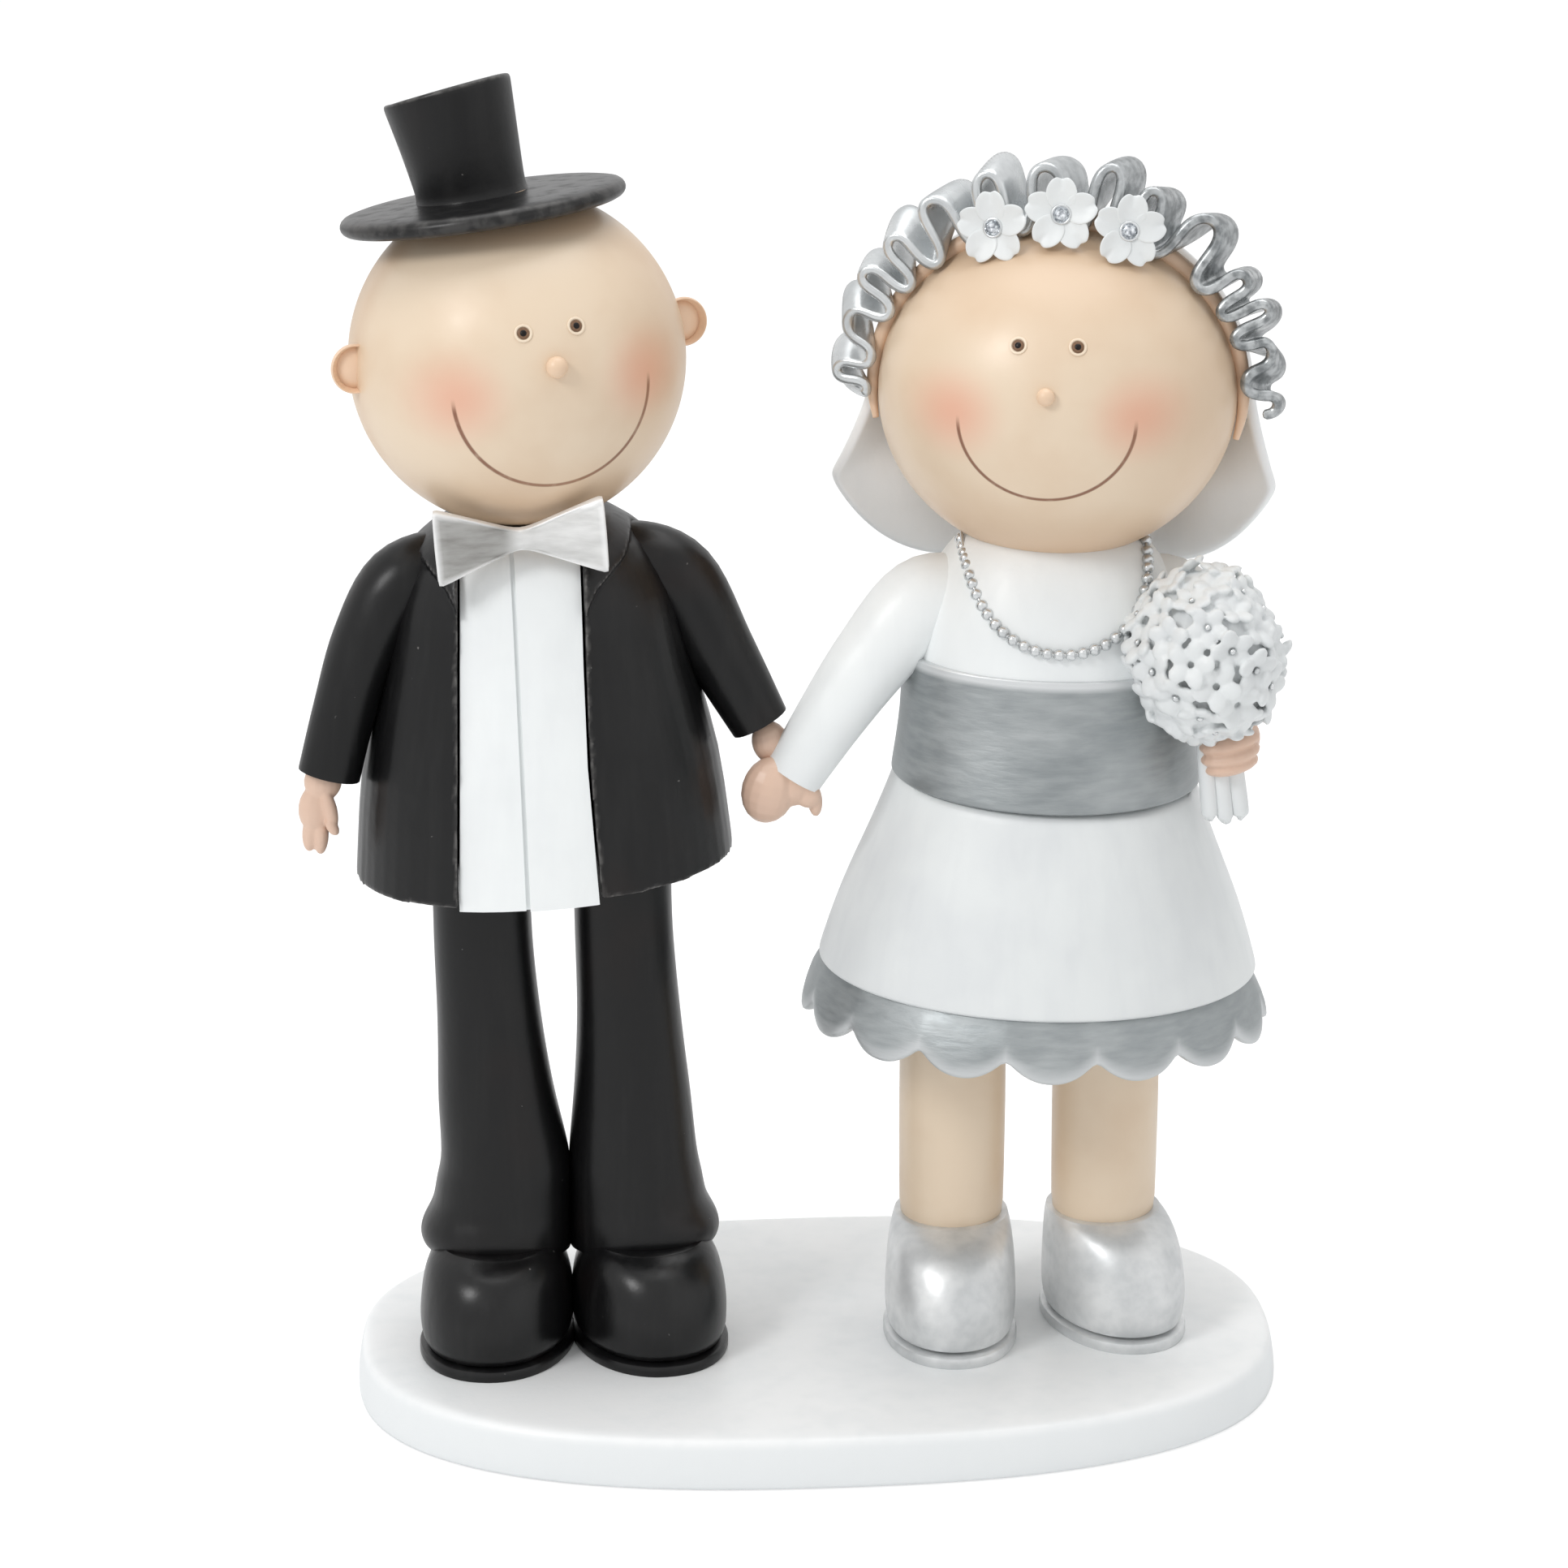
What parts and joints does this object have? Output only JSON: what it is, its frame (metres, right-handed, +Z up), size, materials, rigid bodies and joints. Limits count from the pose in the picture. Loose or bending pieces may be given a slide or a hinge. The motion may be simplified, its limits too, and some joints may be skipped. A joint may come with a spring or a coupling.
{
  "type": "wedding couple figurine",
  "caption": "Painted cast figurine of a smiling wedding couple hand in hand on an oval base, with top hat, bow tie, veil, hair garland, bouquet and a scalloped dress.",
  "frame": {"origin": "centre of the base plate's underside", "axes": "+Z up; the figures face -Y; +X runs from the groom to the bride, the right of the picture"},
  "size_m": [0.1108, 0.064, 0.1513],
  "materials": {
    "white_paint": "satin cool-white paint on cast resin",
    "black_paint": "satin black paint with a faint brown rub on its edges",
    "black_gloss_paint": "shiny black paint",
    "skin_paint": "satin warm beige paint with a coral blush on the cheeks",
    "silver_gloss_paint": "glossy silver paint",
    "silver_brushed_paint": "silver paint with fine brush streaks",
    "cut_stone": "faceted clear glass stone"
  },
  "bodies": {
    "root": {"base_plate": "white_paint", "bead_necklace": "silver_gloss_paint", "bouquet_head": "white_paint", "bouquet_stems": "white_paint", "bridal_veil": "white_paint", "bride_head": "skin_paint", "bride_left_hand": "skin_paint", "bride_left_leg": "skin_paint", "bride_left_shoe": "silver_gloss_paint", "bride_left_sleeve": "white_paint", "bride_left_sole": "silver_gloss_paint", "bride_nose": "skin_paint", "bride_right_hand": "skin_paint", "bride_right_leg": "skin_paint", "bride_right_shoe": "silver_gloss_paint", "bride_right_sleeve": "white_paint", "bride_right_sole": "silver_gloss_paint", "dress_bodice": "white_paint", "dress_flounce": "silver_brushed_paint", "dress_sash": "silver_brushed_paint", "dress_skirt": "white_paint", "groom_bow_tie": "silver_brushed_paint", "groom_head": "skin_paint", "groom_jacket": "black_paint", "groom_left_ear": "skin_paint", "groom_left_hand": "skin_paint", "groom_left_shoe": "black_gloss_paint", "groom_left_sleeve": "black_paint", "groom_left_sole": "black_gloss_paint", "groom_left_trouser_leg": "black_paint", "groom_nose": "skin_paint", "groom_right_ear": "skin_paint", "groom_right_hand": "skin_paint", "groom_right_shoe": "black_gloss_paint", "groom_right_sleeve": "black_paint", "groom_right_sole": "black_gloss_paint", "groom_right_trouser_leg": "black_paint", "groom_shirt_front": "white_paint", "hair_flower_left": "white_paint", "hair_flower_middle": "white_paint", "hair_flower_right": "white_paint", "hair_garland": "silver_gloss_paint", "hair_stone_left": "cut_stone", "hair_stone_middle": "cut_stone", "hair_stone_right": "cut_stone", "top_hat_brim": "black_paint", "top_hat_crown": "black_paint"}
  },
  "joints": []
}
